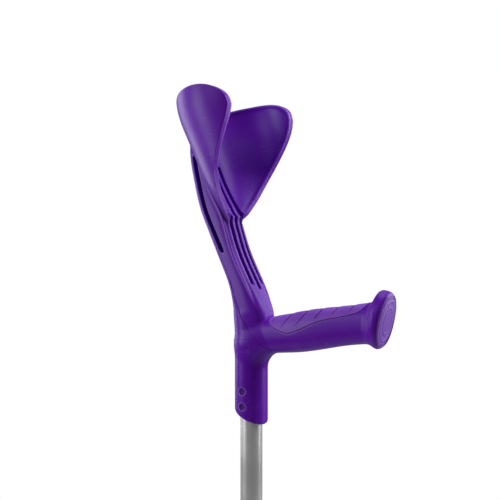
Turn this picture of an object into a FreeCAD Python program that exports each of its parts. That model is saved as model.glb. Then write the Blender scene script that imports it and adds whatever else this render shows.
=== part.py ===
import FreeCAD, Part
import math
import os

# Forearm crutch. Millimetres, +Z up, +X the way the hand grip points.
# The origin is on the tube's axis, where the foot meets the ground.

Vector = FreeCAD.Vector
UP = Vector(0, 0, 1)
ALONG_X = Vector(1, 0, 0)
ALONG_Y = Vector(0, 1, 0)

# ---- tubes, their axis is Z ----
UPPER_TUBE_R = 11.0
LOWER_TUBE_R = 9.5
TUBE_WALL = 1.2
UPPER_TUBE_BOTTOM = 330.0
LOWER_TUBE_BOTTOM = 14.0
LOWER_TUBE_TOP = 525.0

# ---- height setting: a row of holes at the back of the upper tube, the button in the middle one ----
HOLE_COUNT = 13
HOLE_PITCH = 20.0
HOLE_R = 4.1
BUTTON_Z = 490.0
BUTTON_R = 3.8
BUTTON_CLEARANCE = 0.1
BUTTON_STANDS_OUT = 2.6
BUTTON_FLANGE_R = 4.8
BUTTON_TIP_R = 1.8
BUTTON_FLANGE_X = -5.5
BUTTON_FLANGE_THICK = 1.1

# ---- leaf spring behind the button ----
SPRING_THICK = 0.6
SPRING_WIDTH = 8.0
SPRING_GAP = 0.15
SPRING_WALL_X = 6.6
SPRING_BEND_R = 2.6
SPRING_BEND_DROP = 44.0
SPRING_LEG_HALF = 7.0

# ---- plastic guides between the two tubes ----
COLLAR_WALL = 2.0
COLLAR_LENGTH = 18.0
COLLAR_LIP = 4.0
COLLAR_CHAMFER = 0.8
COLLAR_CLEARANCE = 0.06
BUSH_SKIRT = 12.0
BUSH_HEAD = 4.0
BUSH_BORE_R = 6.8
BUSH_CLEARANCE = 0.07

# ---- handle moulding: its heights are from this level, its x from the tube's axis ----
HANDLE_Z = 930.0
TUBE_SEAT_TOP = -45.0
TUBE_SEAT_GAP = 0.05

SLEEVE_R = 16.5
SLEEVE_BOTTOM = -166.0
SLEEVE_TOP = -60.0
SLEEVE_END_SLOPE = 23.0
SLEEVE_EDGE_R = 3.0

PIN_LEVELS = {"fixing_pin_upper": -139.0, "fixing_pin_lower": -154.0}
PIN_R = 2.5
PIN_HEAD_R = 3.3
PIN_HEAD_THICK = 1.6
PIN_SINK = 0.5
PIN_TIP_Y = -7.0

# Spine stations: level, front, back, half width, squareness of the section.
SPINE = [
    (-88.0, 18.0, -12.0, 14.5, 2.3),
    (-68.0, 23.2, -16.2, 16.2, 3.0),
    (-50.0, 17.4, -17.8, 16.8, 3.4),
    (-35.0, 9.6, -20.8, 17.0, 3.6),
    (-18.0, 0.2, -27.8, 17.0, 3.8),
    (0.0, -8.6, -36.8, 16.8, 3.8),
    (25.0, -17.9, -49.6, 16.6, 3.8),
    (36.0, -23.2, -54.8, 16.5, 3.8),
    (50.0, -31.6, -60.0, 16.2, 3.8),
    (75.0, -45.4, -67.0, 15.2, 3.6),
    (98.0, -55.4, -72.4, 13.8, 3.2),
    (117.0, -65.6, -75.0, 10.5, 2.6),
]

# Grooves down the spine's front: offset from the middle, lower end, upper end.
FRONT_GROOVES = [(-7.8, -34.0, 88.0), (0.4, -39.0, 92.0), (8.6, -34.0, 88.0)]
FRONT_GROOVE_WIDTH = 4.4
FRONT_GROOVE_DEPTH = 6.5

# One slot down each side of the spine, near its back.
SIDE_SLOT_ENDS = (-2.5, 98.0)
SIDE_SLOT_FROM_BACK = (11.5, 9.0)
SIDE_SLOT_WIDTH = 5.2
SIDE_SLOT_WEB = 8.0

# Cuff stations: level, the round wall's back, its outer radius.
CUFF = [
    (12.0, -17.0, 14.0),
    (24.0, -21.5, 17.0),
    (35.0, -26.8, 21.8),
    (42.0, -30.8, 27.2),
    (50.0, -35.6, 34.0),
    (66.0, -44.8, 44.2),
    (79.0, -51.1, 49.8),
    (92.0, -56.8, 53.6),
    (110.0, -65.0, 58.2),
    (126.0, -72.4, 61.6),
    (140.0, -77.2, 63.0),
    (162.0, -80.0, 62.6),
]
CUFF_WALL = 5.0
# The wings' free edge, seen from the side: x, level. The front edge runs up, the top edge runs back.
WING_FRONT_EDGE = [
    (-21.0, 14.0),
    (-21.2, 24.0),
    (-20.3, 30.0),
    (-17.7, 35.0),
    (-16.2, 41.0),
    (-14.9, 50.0),
    (-12.4, 66.0),
    (-0.2, 98.0),
    (9.4, 119.0),
    (12.6, 129.0),
    (13.5, 136.0),
]
WING_TOP_EDGE = [
    (13.5, 136.0),
    (11.0, 143.6),
    (0.5, 152.4),
    (-10.0, 155.8),
    (-22.0, 157.0),
    (-43.0, 155.0),
    (-58.0, 150.5),
    (-67.0, 143.0),
    (-71.0, 133.0),
]
# The notch between the wings, seen from behind: an oval's middle level, half height and half width.
NOTCH_LEVEL = 160.0
NOTCH_HALF_HEIGHT = 35.0
NOTCH_HALF_WIDTH = 25.0

# Grip stations: x, level of the middle, half height, half width.
GRIP = [
    (-4.0, -87.0, 12.0, 12.0),
    (14.0, -84.5, 16.8, 14.2),
    (34.0, -81.8, 18.0, 14.2),
    (58.0, -77.9, 19.2, 14.2),
    (84.0, -73.1, 19.0, 14.0),
    (109.0, -68.7, 18.0, 13.6),
    (126.0, -66.0, 18.2, 13.8),
    (140.0, -64.0, 20.0, 15.0),
]
GRIP_POWER = 2.3
# The rounded web under the grip's root, seen from the side.
WEB_REACH = 33.0
WEB_DROP = -118.0
WEB_LEVEL = -98.0
WEB_HALF_WIDTH = 8.0

FLANGE_X = 137.2
FLANGE_LEVEL = -60.2
FLANGE_LEAN = 13.0
FLANGE_HALF_HEIGHT = 26.0
FLANGE_HALF_WIDTH = 18.5
FLANGE_THICK = 10.4
FLANGE_EDGE_R = 4.9
CAP_HALF_HEIGHT = 22.6
CAP_HALF_WIDTH = 14.8
CAP_SEAT_DEPTH = 2.2
CAP_CLEARANCE = 0.05
CAP_RIDGES = (0.86, 0.62)
CAP_RIDGE_WIDTH = 1.3
CAP_RIDGE_HEIGHT = 0.5

# The soft inlay's edge, seen from the side: x, level. The root runs down to the point, the lower edge runs up from it.
PAD_ROOT = [(36.0, -61.5), (31.7, -64.8), (29.6, -68.8), (32.2, -72.3), (40.0, -75.8), (50.9, -79.0)]
PAD_EDGE = [
    (50.9, -79.0),
    (66.2, -73.6),
    (81.0, -66.6),
    (99.0, -61.6),
    (119.0, -56.9),
    (127.0, -53.2),
    (132.0, -47.0),
]
PAD_PRISM_TOP = -20.0
PAD_THICK = 1.8
PAD_PROUD = 0.4

# ---- foot ----
FERRULE_R = 19.0
FERRULE_TOP = 52.0
FERRULE_NECK_R = 14.0
FERRULE_BELL_TOP = 22.0
FERRULE_BELL_FOOT = 6.0
TREAD_GROOVE_RADII = (6.5, 10.5, 14.5)
TREAD_GROOVE_WIDTH = 1.5
TREAD_GROOVE_DEPTH = 2.0
NECK_GROOVE_LEVELS = (27.0, 33.0, 39.0, 45.0)
NECK_GROOVE_HEIGHT = 2.0
NECK_GROOVE_R = 12.6
WASHER_THICK = 2.0
WASHER_R = 9.3


def add(name, shape):
    """Writes one piece to its own file."""
    if not shape.isValid() or shape.Volume <= 0:
        raise ValueError(name + " is not a valid solid")
    shape.exportStep("parts/" + name + ".step")
    print(name, len(shape.Solids), "solid(s),", round(shape.Volume / 1000.0, 2), "cm3")


def ring(z_low, z_high, outer, inner):
    """A round tube or bush on the Z axis."""
    solid = Part.makeCylinder(outer, z_high - z_low, Vector(0, 0, z_low))
    if inner > 0:
        bore = Part.makeCylinder(inner, z_high - z_low + 2, Vector(0, 0, z_low - 1))
        solid = solid.cut(bore)
    return solid


def smooth(points, closed=False):
    """A smooth edge through points."""
    curve = Part.BSplineCurve()
    curve.interpolate(Points=points, PeriodicFlag=closed)
    return curve.toShape()


def oval(centre, first, second, power):
    """A closed superellipse wire, with first and second as its half axes."""
    points = []
    for step in range(24):
        turn = 2 * math.pi * step / 24
        c, s = math.cos(turn), math.sin(turn)
        along = math.copysign(abs(c) ** (2 / power), c)
        across = math.copysign(abs(s) ** (2 / power), s)
        points.append(centre + first * along + second * across)
    return Part.Wire([smooth(points, closed=True)])


def between(stations, column, level):
    """A station value at a level, on straight lines between the stations."""
    for low, high in zip(stations, stations[1:]):
        if low[0] <= level <= high[0]:
            share = (level - low[0]) / (high[0] - low[0])
            return low[column] + share * (high[column] - low[column])
    raise ValueError("level is outside the stations")


def side_prism(edges, y_low, y_high):
    """A prism across the crutch, from an outline in the XZ plane at y = 0."""
    face = Part.Face(Part.Wire(edges))
    face.translate(Vector(0, y_low, 0))
    return face.extrude(Vector(0, y_high - y_low, 0))


def in_handle(x, level):
    return Vector(x, 0, HANDLE_Z + level)


# ---------------------------------------------------------------- handle moulding


def sleeve():
    """The round sleeve on the tube, cut off at a slope that runs down to the front."""
    length = SLEEVE_TOP - SLEEVE_BOTTOM + SLEEVE_R
    solid = Part.makeCylinder(SLEEVE_R, length, in_handle(0, SLEEVE_BOTTOM - SLEEVE_R))
    reach = 4 * SLEEVE_R
    below = Part.makeBox(2 * reach, 2 * reach, reach, Vector(-reach, -reach, -reach))
    below.rotate(Vector(0, 0, 0), ALONG_Y, SLEEVE_END_SLOPE)
    below.translate(in_handle(0, SLEEVE_BOTTOM))
    solid = solid.cut(below)
    half_way = HANDLE_Z + (SLEEVE_BOTTOM + SLEEVE_TOP) / 2
    rims = [e for e in solid.Edges if e.BoundBox.ZMax < half_way and e.BoundBox.YLength > SLEEVE_R]
    return solid.makeFillet(SLEEVE_EDGE_R, rims)


def spine():
    """The column that leans back from the sleeve to the cuff."""
    wires = []
    for level, front, back, half_width, squareness in SPINE:
        centre = in_handle((front + back) / 2, level)
        wires.append(oval(centre, ALONG_X * ((front - back) / 2), ALONG_Y * half_width, squareness))
    return Part.makeLoft(wires, True)


def cuff_body(inset):
    """The round body of the cuff, with its wall set in by inset."""
    wires = []
    for level, back, radius in CUFF:
        centre = in_handle(back + radius, level)
        wires.append(Part.Wire([Part.makeCircle(radius - inset, centre, UP)]))
    return Part.makeLoft(wires, True)


def notch_cutter():
    """The oval notch between the wings, as a prism along X through the cuff's back."""
    centre = Vector(CUFF[-1][1] - NOTCH_HALF_HEIGHT, 0, HANDLE_Z + NOTCH_LEVEL)
    ellipse = Part.Ellipse(centre + UP * NOTCH_HALF_HEIGHT, centre + ALONG_Y * NOTCH_HALF_WIDTH, centre)
    face = Part.Face(Part.Wire([ellipse.toShape()]))
    return face.extrude(ALONG_X * (2 * NOTCH_HALF_HEIGHT))


def wings():
    """Two wings: the cuff's wall, cut to the free edge's outline, with a notch between them at the back."""
    front = [in_handle(x, level) for x, level in WING_FRONT_EDGE]
    top = [in_handle(x, level) for x, level in WING_TOP_EDGE]
    behind = CUFF[-1][1] - 20
    corners = [
        top[-1],
        in_handle(behind, WING_TOP_EDGE[-1][1]),
        in_handle(behind, WING_FRONT_EDGE[0][1]),
        front[0],
    ]
    edges = [smooth(front), smooth(top)]
    edges += [Part.makeLine(a, b) for a, b in zip(corners, corners[1:])]
    wide = 2 * CUFF[-1][2]
    outline = side_prism(edges, -wide, wide)
    return cuff_body(0).cut(cuff_body(CUFF_WALL)).common(outline).cut(notch_cutter())


def front_groove_cutter(offset, low, high):
    """A groove that follows the spine's front."""
    levels = [low + (high - low) * step / 6 for step in range(7)]
    outer = [in_handle(between(SPINE, 1, level) + 8, level) for level in levels]
    inner = [in_handle(between(SPINE, 1, level) - FRONT_GROOVE_DEPTH, level) for level in levels]
    edges = [smooth(outer), smooth(inner)]
    edges += [Part.makeLine(outer[0], inner[0]), Part.makeLine(outer[-1], inner[-1])]
    half = FRONT_GROOVE_WIDTH / 2
    return side_prism(Part.__sortEdges__(edges), offset - half, offset + half)


def side_slot_cutter(side):
    """A slot that follows the spine's back, cut in from one side."""
    low, high = SIDE_SLOT_ENDS
    shares = [step / 5 for step in range(6)]
    levels = [low + (high - low) * share for share in shares]
    low_gap, high_gap = SIDE_SLOT_FROM_BACK
    gaps = [low_gap + (high_gap - low_gap) * share for share in shares]
    middle = [between(SPINE, 2, level) + gap for level, gap in zip(levels, gaps)]
    half = SIDE_SLOT_WIDTH / 2
    ahead = [in_handle(x + half, level) for x, level in zip(middle, levels)]
    behind = [in_handle(x - half, level) for x, level in zip(middle, levels)]
    edges = [smooth(ahead), smooth(behind)]
    edges += [Part.makeLine(ahead[0], behind[0]), Part.makeLine(ahead[-1], behind[-1])]
    y_ends = sorted((side * SIDE_SLOT_WEB, side * (SIDE_SLOT_WEB + 20)))
    return side_prism(Part.__sortEdges__(edges), y_ends[0], y_ends[1])


def grip_body(growth):
    """The hand grip's oval body, grown all round by growth."""
    wires = []
    for x, level, half_height, half_width in GRIP:
        tall = UP * (half_height + growth)
        wires.append(oval(in_handle(x, level), tall, ALONG_Y * (half_width + growth), GRIP_POWER))
    return Part.makeLoft(wires, True)


def grip_web():
    """The web that rounds off the corner between the sleeve and the grip's underside."""
    inside = SLEEVE_R - 4
    under = in_handle(WEB_REACH, WEB_LEVEL)
    down = in_handle(SLEEVE_R - 0.5, WEB_DROP)
    middle = in_handle(SLEEVE_R + 3.2, WEB_LEVEL - 5.6)
    top_left = in_handle(inside, WEB_LEVEL + 6)
    top_right = in_handle(WEB_REACH, WEB_LEVEL + 6)
    low_left = in_handle(inside, WEB_DROP)
    edges = [Part.Arc(under, middle, down).toShape()]
    corners = [down, low_left, top_left, top_right, under]
    edges += [Part.makeLine(a, b) for a, b in zip(corners, corners[1:])]
    return side_prism(edges, -WEB_HALF_WIDTH, WEB_HALF_WIDTH)


def on_flange(shape):
    """Puts a shape made flat on the XY plane, its long way along X, on the flange's back face."""
    lean = math.radians(FLANGE_LEAN)
    tall = Vector(math.sin(lean), 0, math.cos(lean))
    out = Vector(math.cos(lean), 0, -math.sin(lean))
    turn = FreeCAD.Rotation(tall, ALONG_Y * -1, out)
    shape.Placement = FreeCAD.Placement(in_handle(FLANGE_X, FLANGE_LEVEL), turn)
    return shape


def oval_plate(half_height, half_width, z_low, z_high):
    """An elliptical plate, flat on the XY plane, its long way along X."""
    ellipse = Part.Ellipse(Vector(0, 0, z_low), half_height, half_width)
    face = Part.Face(Part.Wire([ellipse.toShape()]))
    return face.extrude(Vector(0, 0, z_high - z_low))


def flange():
    """The oval stop at the end of the grip, with rounded rims."""
    plate = oval_plate(FLANGE_HALF_HEIGHT, FLANGE_HALF_WIDTH, 0, FLANGE_THICK)
    rims = [e for e in plate.Edges if e.BoundBox.ZLength < 0.01]
    return on_flange(plate.makeFillet(FLANGE_EDGE_R, rims))


def cap_plate(clearance):
    """The end cap's plain oval plate, smaller all round by the clearance."""
    half_height = CAP_HALF_HEIGHT - clearance
    half_width = CAP_HALF_WIDTH - clearance
    return oval_plate(half_height, half_width, FLANGE_THICK - CAP_SEAT_DEPTH, FLANGE_THICK)


def grip_end_cap():
    """The cap, with plain oval ridges on its face."""
    cap = cap_plate(CAP_CLEARANCE)
    ridge_top = FLANGE_THICK + CAP_RIDGE_HEIGHT
    for share in CAP_RIDGES:
        half_height = CAP_HALF_HEIGHT * share
        half_width = CAP_HALF_WIDTH * share
        outer = oval_plate(half_height, half_width, FLANGE_THICK, ridge_top)
        inner = oval_plate(half_height - CAP_RIDGE_WIDTH, half_width - CAP_RIDGE_WIDTH, FLANGE_THICK, ridge_top)
        cap = cap.fuse(outer.cut(inner))
    return on_flange(cap.removeSplitter())


def grip_pad():
    """The soft inlay: the top of the grip's skin, inside the outline of its edge."""
    root = [in_handle(x, level) for x, level in PAD_ROOT]
    edge = [in_handle(x, level) for x, level in PAD_EDGE]
    above = [in_handle(x, PAD_PRISM_TOP) for x in (PAD_EDGE[-1][0], PAD_ROOT[0][0])]
    corners = [edge[-1], *above, root[0]]
    edges = [smooth(root), smooth(edge)]
    edges += [Part.makeLine(a, b) for a, b in zip(corners, corners[1:])]
    wide = 2 * FLANGE_HALF_WIDTH
    outline = side_prism(edges, -wide, wide)
    return grip_body(PAD_PROUD).cut(grip_body(PAD_PROUD - PAD_THICK)).common(outline)


def tube_seat():
    """The blind hole that the upper tube stands in."""
    through_end = 4 * SLEEVE_EDGE_R + 2 * SLEEVE_R
    length = TUBE_SEAT_TOP - SLEEVE_BOTTOM + through_end
    return Part.makeCylinder(UPPER_TUBE_R + TUBE_SEAT_GAP, length, in_handle(0, SLEEVE_BOTTOM - through_end))


def pin_at(level, out):
    """A pin that points in from the near side, its head's face moved out by out."""
    face_y = -SLEEVE_R + PIN_SINK - out
    head_length = PIN_HEAD_THICK + out
    place = Vector(0, face_y, HANDLE_Z + level)
    head = Part.makeCylinder(PIN_HEAD_R, head_length, place, ALONG_Y)
    shank_from = place + ALONG_Y * head_length
    shank = Part.makeCylinder(PIN_R, PIN_TIP_Y - shank_from.y, shank_from, ALONG_Y)
    return head.fuse(shank)


def pin_cutters():
    """The two pins' holes, open at the sleeve's face."""
    return [pin_at(level, 2 * PIN_HEAD_THICK) for level in PIN_LEVELS.values()]


def upper_moulding(pad):
    body = sleeve().fuse([spine(), grip_body(0), grip_web(), flange(), wings()])
    cutters = [front_groove_cutter(*groove) for groove in FRONT_GROOVES]
    cutters += [side_slot_cutter(side) for side in (-1, 1)]
    cutters += [pad, on_flange(cap_plate(0)), tube_seat()]
    body = body.cut(cutters + pin_cutters())
    return max(body.Solids, key=lambda solid: solid.Volume)


# ---------------------------------------------------------------- tubes and height setting


def across_tube(radius, z, length, start_x=0):
    """A round cutter or pin that points to the back."""
    return Part.makeCylinder(radius, length, Vector(start_x, 0, z), ALONG_X * -1)


def upper_tube():
    tube = ring(UPPER_TUBE_BOTTOM, HANDLE_Z + TUBE_SEAT_TOP, UPPER_TUBE_R, UPPER_TUBE_R - TUBE_WALL)
    first = BUTTON_Z - HOLE_PITCH * (HOLE_COUNT - 1) / 2
    holes = [across_tube(HOLE_R, first + HOLE_PITCH * n, 2 * UPPER_TUBE_R) for n in range(HOLE_COUNT)]
    return tube.cut(holes + pin_cutters())


def tube_end_collar():
    """A collar pushed over the upper tube's end, with a lip that the leg slides through."""
    outer = UPPER_TUBE_R + COLLAR_WALL
    skirt = ring(UPPER_TUBE_BOTTOM, UPPER_TUBE_BOTTOM + COLLAR_LENGTH, outer, UPPER_TUBE_R)
    lip = ring(UPPER_TUBE_BOTTOM - COLLAR_LIP, UPPER_TUBE_BOTTOM, outer, LOWER_TUBE_R + COLLAR_CLEARANCE)
    collar = skirt.fuse(lip).removeSplitter()
    rims = [e for e in collar.Edges if abs(e.BoundBox.XLength - 2 * outer) < 0.01 and e.BoundBox.ZLength < 0.01]
    return collar.makeChamfer(COLLAR_CHAMFER, rims)


def lower_tube():
    tube = ring(LOWER_TUBE_BOTTOM, LOWER_TUBE_TOP, LOWER_TUBE_R, LOWER_TUBE_R - TUBE_WALL)
    return tube.cut(across_tube(BUTTON_R + BUTTON_CLEARANCE, BUTTON_Z, 2 * LOWER_TUBE_R))


def guide_bush():
    """A plug in the leg's upper end, whose flange runs in the upper tube."""
    skirt = ring(LOWER_TUBE_TOP - BUSH_SKIRT, LOWER_TUBE_TOP, LOWER_TUBE_R - TUBE_WALL, BUSH_BORE_R)
    head_r = UPPER_TUBE_R - TUBE_WALL - BUSH_CLEARANCE
    head = ring(LOWER_TUBE_TOP, LOWER_TUBE_TOP + BUSH_HEAD, head_r, BUSH_BORE_R)
    return skirt.fuse(head).removeSplitter()


def snap_button():
    """A domed button with a flange that stops it against the inside of the leg."""
    tip = UPPER_TUBE_R + BUTTON_STANDS_OUT
    stem = across_tube(BUTTON_R, BUTTON_Z, tip + BUTTON_FLANGE_X, BUTTON_FLANGE_X)
    tip_edges = [e for e in stem.Edges if e.BoundBox.XLength < 0.01 and e.BoundBox.XMax < -UPPER_TUBE_R]
    stem = stem.makeFillet(BUTTON_TIP_R, tip_edges)
    plate = across_tube(BUTTON_FLANGE_R, BUTTON_Z, BUTTON_FLANGE_THICK, BUTTON_FLANGE_X)
    return stem.fuse(plate).removeSplitter()


def spring_side(button_x, wall_x, bend_r):
    """One face of the bent strip as edges: the button leg, the slope, the bend and the wall leg."""
    bend_z = BUTTON_Z - SPRING_BEND_DROP
    bend_x = SPRING_WALL_X - SPRING_BEND_R
    points = [
        Vector(button_x, 0, BUTTON_Z + SPRING_LEG_HALF),
        Vector(button_x, 0, BUTTON_Z - SPRING_LEG_HALF),
        Vector(bend_x - bend_r, 0, bend_z),
        Vector(bend_x, 0, bend_z - bend_r),
        Vector(wall_x, 0, bend_z),
        Vector(wall_x, 0, BUTTON_Z + SPRING_LEG_HALF),
    ]
    edges = [Part.makeLine(points[0], points[1]), Part.makeLine(points[1], points[2])]
    edges += [Part.Arc(points[2], points[3], points[4]).toShape(), Part.makeLine(points[4], points[5])]
    return points, edges


def snap_spring():
    """A strip bent to a V: one leg behind the button, the other on the leg's far wall."""
    button_x = BUTTON_FLANGE_X + SPRING_GAP
    outer, outer_edges = spring_side(button_x, SPRING_WALL_X, SPRING_BEND_R)
    inner, inner_edges = spring_side(
        button_x + SPRING_THICK, SPRING_WALL_X - SPRING_THICK, SPRING_BEND_R - SPRING_THICK
    )
    ends = [Part.makeLine(outer[0], inner[0]), Part.makeLine(outer[-1], inner[-1])]
    edges = Part.__sortEdges__(outer_edges + inner_edges + ends)
    return side_prism(edges, -SPRING_WIDTH / 2, SPRING_WIDTH / 2)


# ---------------------------------------------------------------- foot


def ferrule():
    """The rubber foot: a ribbed neck, a bell, and ring grooves in the tread."""
    socket_floor = LOWER_TUBE_BOTTOM - WASHER_THICK
    profile = [
        Vector(0, 0, 0),
        Vector(FERRULE_R - 1, 0, 0),
        Vector(FERRULE_R, 0, 1.5),
        Vector(FERRULE_R, 0, FERRULE_BELL_FOOT),
        Vector(FERRULE_NECK_R + 0.5, 0, FERRULE_BELL_TOP),
        Vector(FERRULE_NECK_R, 0, FERRULE_TOP - 1),
        Vector(FERRULE_NECK_R - 1, 0, FERRULE_TOP),
        Vector(LOWER_TUBE_R, 0, FERRULE_TOP),
        Vector(LOWER_TUBE_R, 0, socket_floor),
        Vector(0, 0, socket_floor),
        Vector(0, 0, 0),
    ]
    face = Part.Face(Part.makePolygon(profile))
    body = face.revolve(Vector(0, 0, 0), UP, 360)
    for radius in TREAD_GROOVE_RADII:
        body = body.cut(ring(-1, TREAD_GROOVE_DEPTH, radius + TREAD_GROOVE_WIDTH, radius))
    for z in NECK_GROOVE_LEVELS:
        body = body.cut(ring(z, z + NECK_GROOVE_HEIGHT, FERRULE_R, NECK_GROOVE_R))
    return body


def main():
    os.makedirs("parts", exist_ok=True)
    pad = grip_pad()
    add("upper_moulding", upper_moulding(pad))
    add("grip_pad", pad)
    add("grip_end_cap", grip_end_cap())
    for name, level in PIN_LEVELS.items():
        add(name, pin_at(level, 0))
    add("upper_tube", upper_tube())
    add("tube_end_collar", tube_end_collar())
    add("lower_tube", lower_tube())
    add("guide_bush", guide_bush())
    add("snap_button", snap_button())
    add("snap_spring", snap_spring())
    add("ferrule", ferrule())
    add("ferrule_washer", ring(LOWER_TUBE_BOTTOM - WASHER_THICK, LOWER_TUBE_BOTTOM, WASHER_R, 0))


main()
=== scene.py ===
import math

import bpy
import numpy as np
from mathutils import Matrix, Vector


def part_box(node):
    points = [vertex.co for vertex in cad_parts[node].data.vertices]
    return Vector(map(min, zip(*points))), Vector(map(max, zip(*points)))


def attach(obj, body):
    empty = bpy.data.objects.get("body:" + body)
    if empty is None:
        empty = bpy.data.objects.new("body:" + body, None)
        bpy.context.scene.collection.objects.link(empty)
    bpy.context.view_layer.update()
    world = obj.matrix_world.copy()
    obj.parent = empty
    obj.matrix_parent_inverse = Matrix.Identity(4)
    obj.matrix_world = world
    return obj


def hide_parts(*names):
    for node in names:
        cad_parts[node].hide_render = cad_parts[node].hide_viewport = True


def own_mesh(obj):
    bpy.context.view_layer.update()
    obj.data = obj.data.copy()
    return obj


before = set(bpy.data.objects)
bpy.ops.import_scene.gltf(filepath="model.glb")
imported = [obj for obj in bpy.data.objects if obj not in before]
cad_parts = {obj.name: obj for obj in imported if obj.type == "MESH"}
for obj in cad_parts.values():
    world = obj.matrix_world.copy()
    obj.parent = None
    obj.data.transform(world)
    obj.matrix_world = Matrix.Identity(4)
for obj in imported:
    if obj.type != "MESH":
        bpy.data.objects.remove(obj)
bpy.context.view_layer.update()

# Forearm crutch. Shapes are worked out in millimetres in the handle's own frame: x and y from the tube's
# axis, z from the handle's level, which is 45 mm above the upper tube's top.
# mesh_of() puts them in the row frame.
MM = 0.001
TUBE_SEAT_TOP = -45.0
TUBE_SEAT_GAP = 0.05
HANDLE_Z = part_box("upper_tube")[1].z / MM - TUBE_SEAT_TOP
TUBE_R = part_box("upper_tube")[1].x / MM

SLEEVE_R = 16.5
SLEEVE_BOTTOM = -166.0
SLEEVE_TOP = -60.0
SLEEVE_END_SLOPE = math.radians(23.0)
SLEEVE_EDGE_R = 3.0
SLEEVE_TOP_R = 4.0
BORE_EDGE_R = 0.7

# Spine stations: level, front, back, half width, squareness of the section.
SPINE = [
    (-88.0, 18.0, -12.0, 14.5, 2.3),
    (-68.0, 22.8, -15.2, 15.9, 2.8),
    (-50.0, 17.0, -17.2, 16.5, 3.1),
    (-35.0, 9.0, -20.4, 16.7, 3.4),
    (-18.0, -0.6, -27.6, 16.8, 3.6),
    (0.0, -9.6, -36.7, 16.7, 3.7),
    (25.0, -18.5, -49.5, 16.5, 3.7),
    (36.0, -23.2, -54.8, 16.5, 3.8),
    (50.0, -31.6, -60.0, 16.2, 3.8),
    (75.0, -45.4, -67.0, 15.2, 3.6),
    (98.0, -55.4, -72.4, 13.8, 3.2),
    (117.0, -65.6, -75.0, 10.5, 2.6),
]
SPINE_END_R = 8.0
SPINE_FOOT_R = 4.0
COLUMN_BLEND = 4.0
# A rounded bead down each of the spine's front corners.
BEAD_HEIGHT = 1.0
BEAD_HALF = 1.7
BEAD_FROM_FRONT = 3.6
BEAD_IN = 0.8
BEAD_FOOT = -76.0
BEAD_FADE = 14.0

# Grooves down the spine's front: offset from the middle, lower end, upper end.
FRONT_GROOVES = [(-7.8, -34.0, 88.0), (0.4, -39.0, 92.0), (8.6, -34.0, 88.0)]
FRONT_GROOVE_HALF = 2.2
FRONT_GROOVE_DEPTH = 6.5
FRONT_GROOVE_REACH = 14.0
FRONT_GROOVE_FLOOR_R = 0.8
GROOVE_LIP_R = 0.8

# One slot down each side of the spine, near its back.
SIDE_SLOT_ENDS = (-2.5, 98.0)
SIDE_SLOT_FROM_BACK = (11.5, 9.0)
SIDE_SLOT_HALF = 2.6
SIDE_SLOT_WEB = 8.0
SIDE_SLOT_FLOOR_R = 1.0
# The slot leans, so across it a distance is shorter than along x.
SIDE_SLOT_SLANT = 0.9

# Cuff stations: level, the round wall's back, its outer radius.
CUFF = [
    (12.0, -17.0, 14.0),
    (24.0, -21.5, 17.0),
    (35.0, -26.8, 21.8),
    (42.0, -30.8, 27.2),
    (50.0, -35.6, 34.0),
    (66.0, -44.8, 44.2),
    (79.0, -51.1, 49.8),
    (92.0, -56.8, 53.6),
    (110.0, -65.0, 58.2),
    (126.0, -72.4, 61.6),
    (140.0, -77.2, 63.0),
    (162.0, -80.0, 62.6),
]
CUFF_WALL = 5.0
CUFF_BLEND = 4.0
CUFF_RIM_R = 0.8
# The wall is thicker on its inner side along the free edge.
CUFF_RIM_ROLL = 1.8
CUFF_ROLL_WIDTH = 3.5
# The wings' free edge, seen from the side: x, level. The front edge runs up, the top edge runs back.
WING_FRONT_EDGE = [
    (-21.0, 14.0),
    (-21.2, 24.0),
    (-20.3, 30.0),
    (-17.7, 35.0),
    (-16.2, 41.0),
    (-14.9, 50.0),
    (-12.4, 66.0),
    (-0.2, 98.0),
    (9.4, 119.0),
    (12.6, 129.0),
    (13.5, 136.0),
]
WING_TOP_EDGE = [
    (13.5, 136.0),
    (11.0, 143.6),
    (0.5, 152.4),
    (-10.0, 155.8),
    (-22.0, 157.0),
    (-43.0, 155.0),
    (-58.0, 150.5),
    (-67.0, 143.0),
    (-71.0, 133.0),
]
# The wings' closed outline runs on this far behind the wall.
WING_OUTLINE_BEHIND = 20.0
# The notch between the wings, seen from behind: an oval's middle level, half height and half width.
NOTCH_LEVEL = 160.0
NOTCH_HALF_HEIGHT = 35.0
NOTCH_HALF_WIDTH = 25.0
NOTCH_POWER = 2.2

# Grip stations: x, level of the middle, half height, half width.
GRIP = [
    (-4.0, -87.0, 12.0, 12.0),
    (14.0, -84.5, 16.8, 14.2),
    (34.0, -81.8, 18.0, 14.2),
    (58.0, -77.9, 19.2, 14.2),
    (84.0, -73.1, 19.0, 14.0),
    (109.0, -68.7, 18.0, 13.6),
    (126.0, -66.0, 18.2, 13.8),
    (140.0, -64.0, 18.8, 14.2),
]
GRIP_POWER = 2.3
GRIP_ROOT_R = 6.0
GRIP_END_R = 2.0
# The fillet between the column and the grip: its radius and level, above the grip and below it.
FILLET_ABOVE = (3.5, -72.0)
FILLET_BELOW = (17.0, -94.0)

FLANGE_X = 137.2
FLANGE_LEVEL = -60.2
FLANGE_LEAN = math.radians(13.0)
FLANGE_BACK_LEAN = math.radians(6.0)
FLANGE_HALF_HEIGHT = 26.0
FLANGE_HALF_WIDTH = 18.5
FLANGE_THICK = 10.4
FLANGE_EDGE_R = 4.9
FLANGE_FACE_R = 1.0
FLANGE_BLEND = 9.0
CAP_HALF_HEIGHT = 22.6
CAP_HALF_WIDTH = 14.8
CAP_SEAT_DEPTH = 2.2
CAP_GAP = 0.35
CAP_SUNK = 0.5
CAP_DOME = 0.7
CAP_RINGS = (0.8, 0.52)
CAP_RING_HALF = 0.7
CAP_RING_HEIGHT = 0.3
CAP_LIFT = 0.1
CAP_EDGE_R = 0.6
CAP_SEAT_LIP_R = 0.5

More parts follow.
